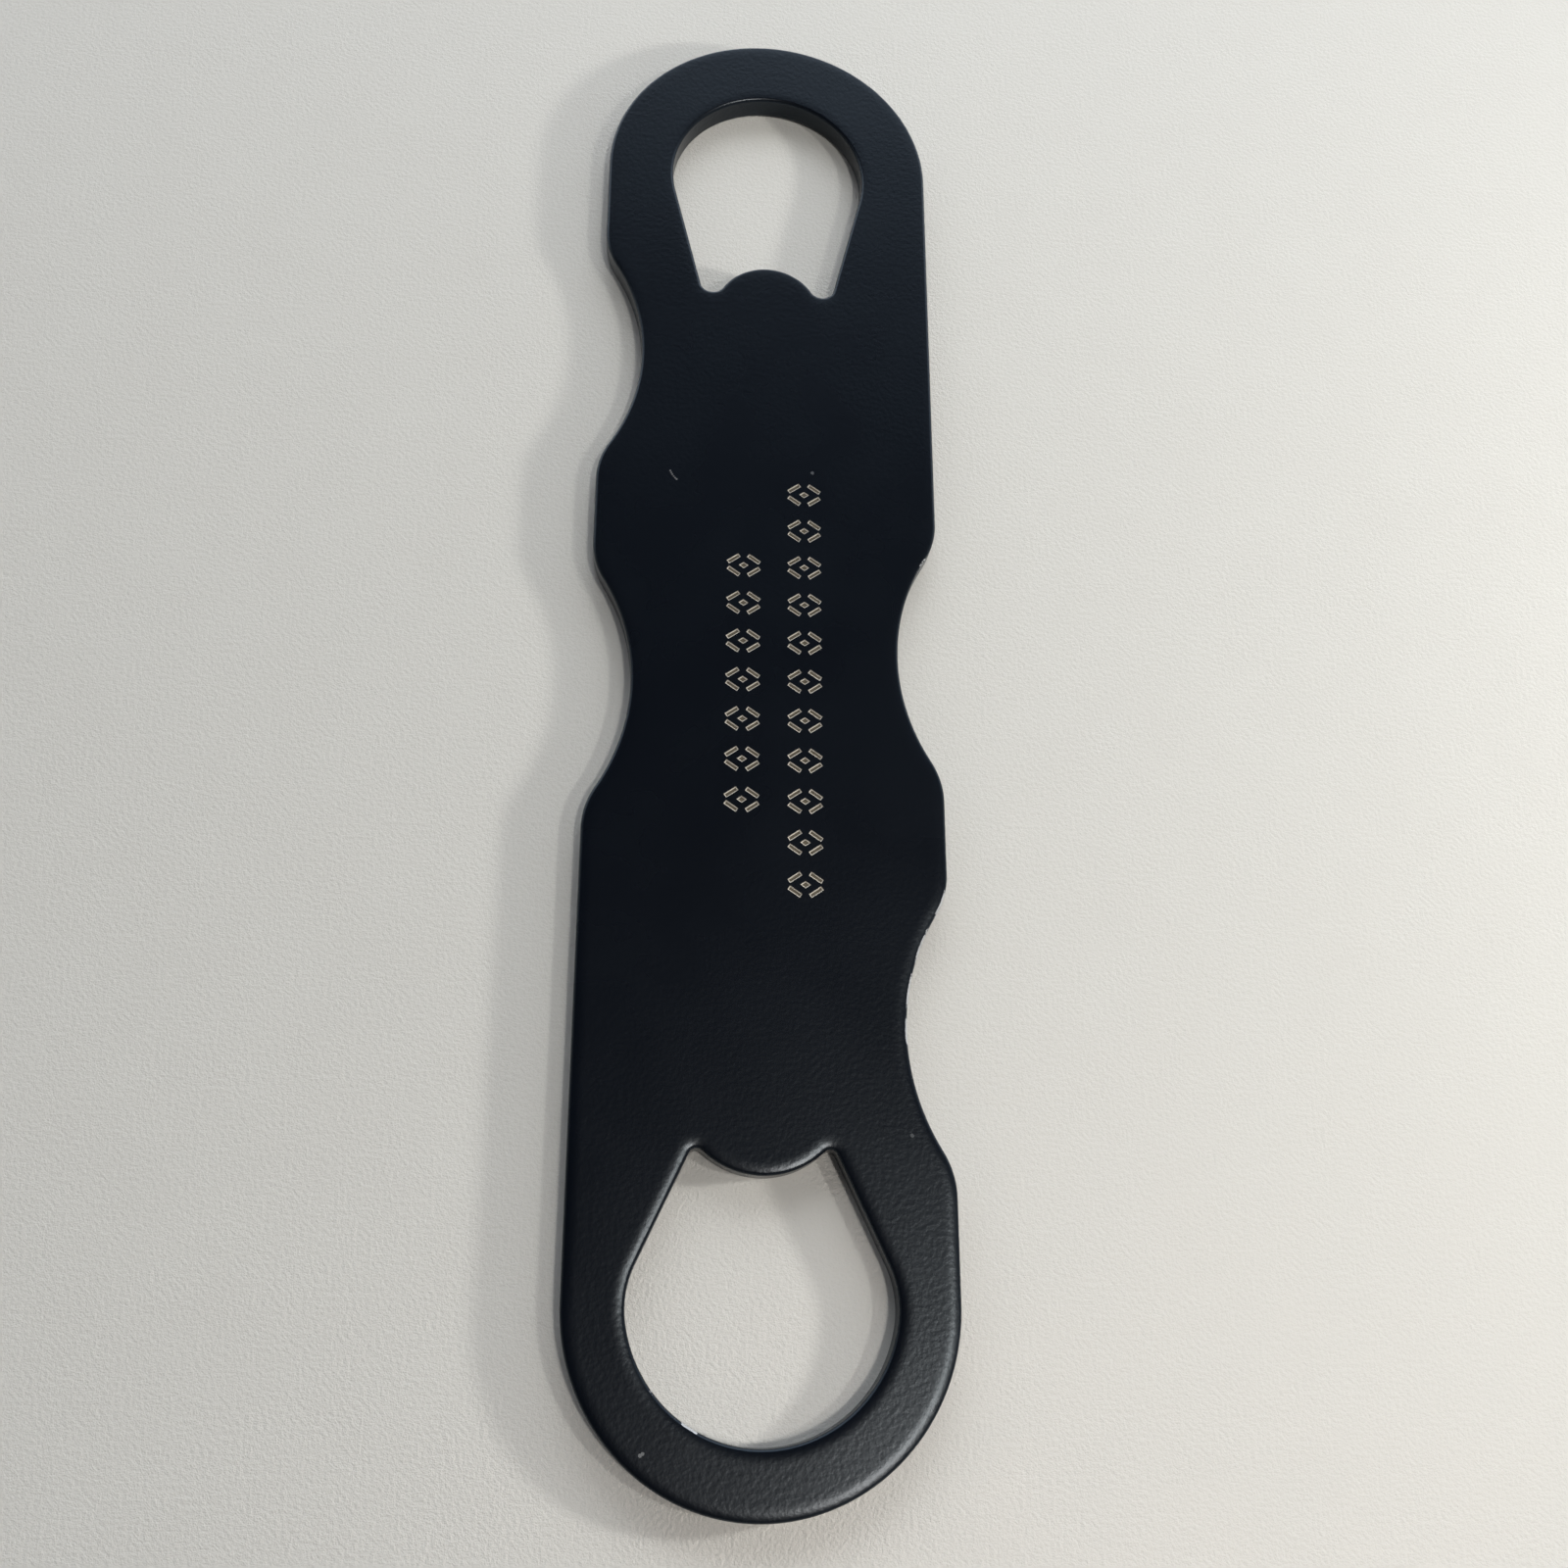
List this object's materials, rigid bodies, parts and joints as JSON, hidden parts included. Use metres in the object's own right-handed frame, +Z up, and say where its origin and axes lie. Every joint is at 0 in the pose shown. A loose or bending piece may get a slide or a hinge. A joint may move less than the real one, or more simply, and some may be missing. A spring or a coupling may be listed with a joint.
{
  "type": "bottle opener and wrench bar",
  "caption": "Flat coated steel pocket bar with a bottle-cap opening, a wrench opening and finger scallops along both sides.",
  "frame": {"origin": "under the middle of the body, on the flat face that the tool lies on", "axes": "+X across the tool, +Y along it from the cap opening towards the wrench opening, +Z up out of the engraved face"},
  "size_m": [0.033, 0.146, 0.0026],
  "materials": {
    "bare_steel": "laser-marked steel, brown-grey where the beam has darkened it",
    "black_coat": "blue-black satin powder coat with a fine orange-peel texture"
  },
  "bodies": {
    "root": {"steel_blank": "bare_steel", "powder_coat": "black_coat"}
  },
  "joints": []
}
